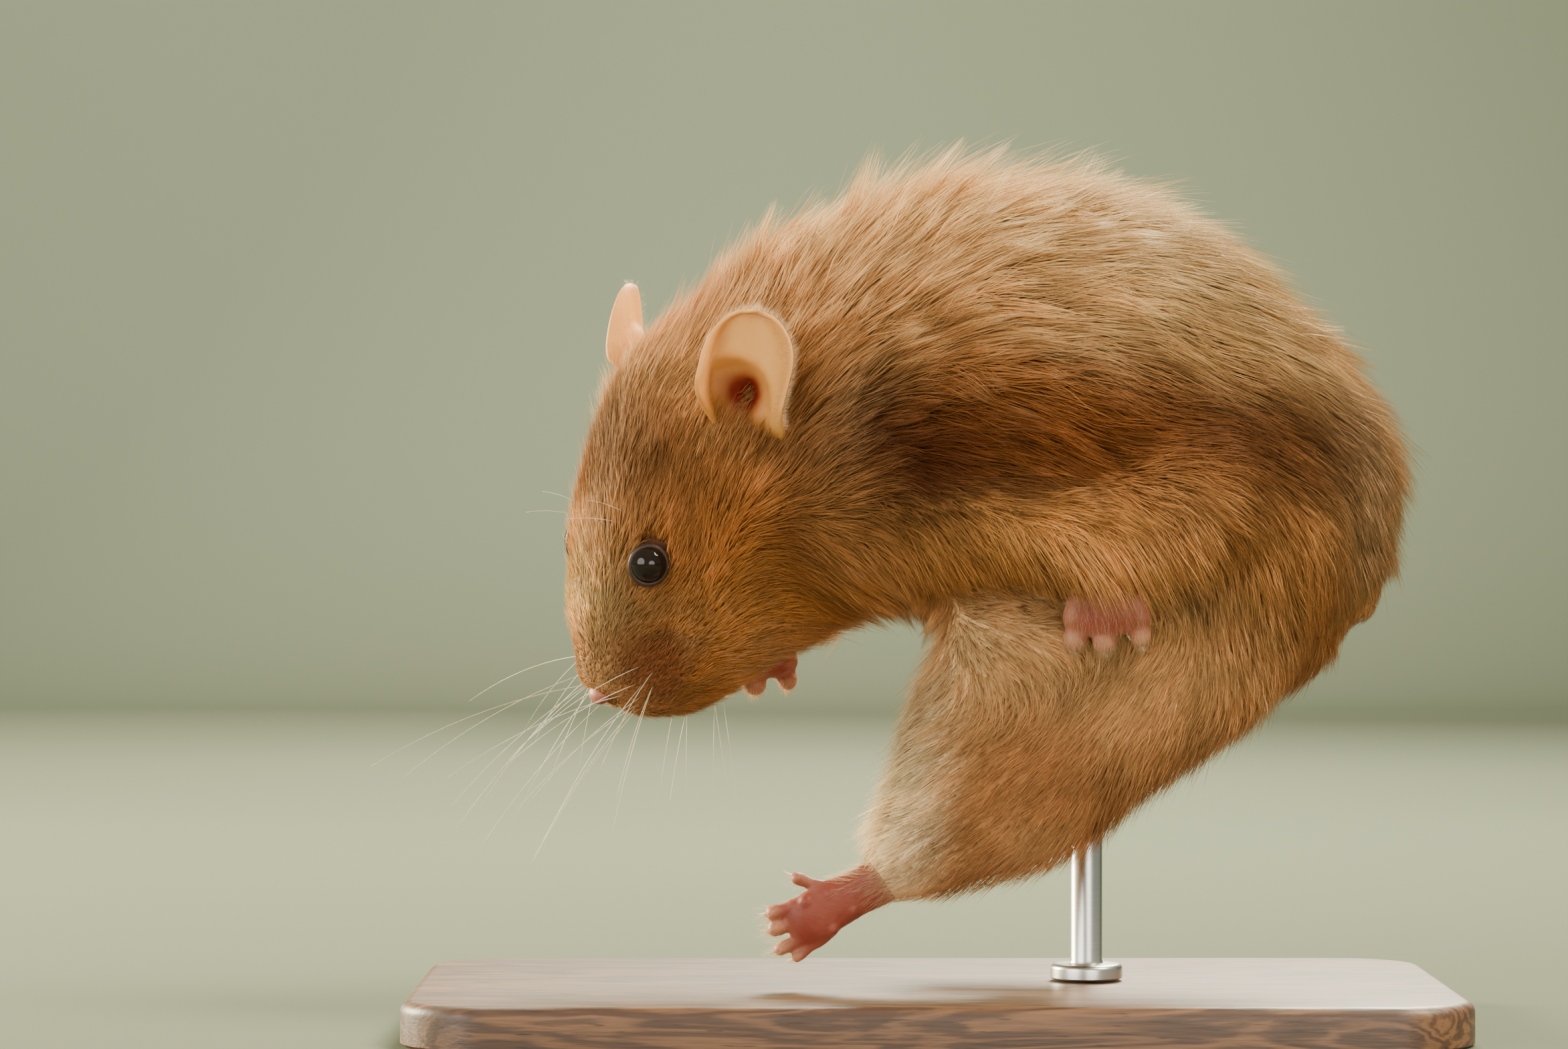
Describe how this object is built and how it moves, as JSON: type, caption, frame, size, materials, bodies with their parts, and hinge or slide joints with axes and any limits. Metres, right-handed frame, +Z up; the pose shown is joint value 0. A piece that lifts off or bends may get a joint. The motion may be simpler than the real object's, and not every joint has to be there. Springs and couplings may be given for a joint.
{
  "type": "hamster",
  "caption": "Life-size still model of a Syrian hamster with a long golden coat, climbing down head first with its back arched, on a plain display stand.",
  "frame": {"origin": "centre of the underside of the display base", "axes": "+Z up, +X from the head end towards the rump end along the base's length, +Y towards the animal's right side"},
  "size_m": [0.143, 0.078, 0.1187],
  "materials": {
    "coat": "soft long hair, golden orange with pale tips",
    "ear_skin": "thin soft skin, peach, pink inside",
    "eye": "wet gloss, black",
    "paw_skin": "bare soft skin, pink",
    "nose": "bare moist skin, pink",
    "stand_wood": "dark, smooth and oiled",
    "stand_steel": "brushed"
  },
  "bodies": {
    "root": {"abdomen": "coat", "chest": "coat", "ear_left": "ear_skin", "ear_right": "ear_skin", "eye_left": "eye", "eye_right": "eye", "foreleg_left": "coat", "foreleg_right": "coat", "forepaw_left": "paw_skin", "forepaw_right": "paw_skin", "head": "coat", "hindfoot_left": "paw_skin", "hindfoot_right": "paw_skin", "neck": "coat", "nose": "nose", "rump": "coat", "shank_left": "coat", "shank_right": "coat", "stand_base": "stand_wood", "stand_rod": "stand_steel", "tail": "coat", "thigh_left": "coat", "thigh_right": "coat"}
  },
  "joints": []
}
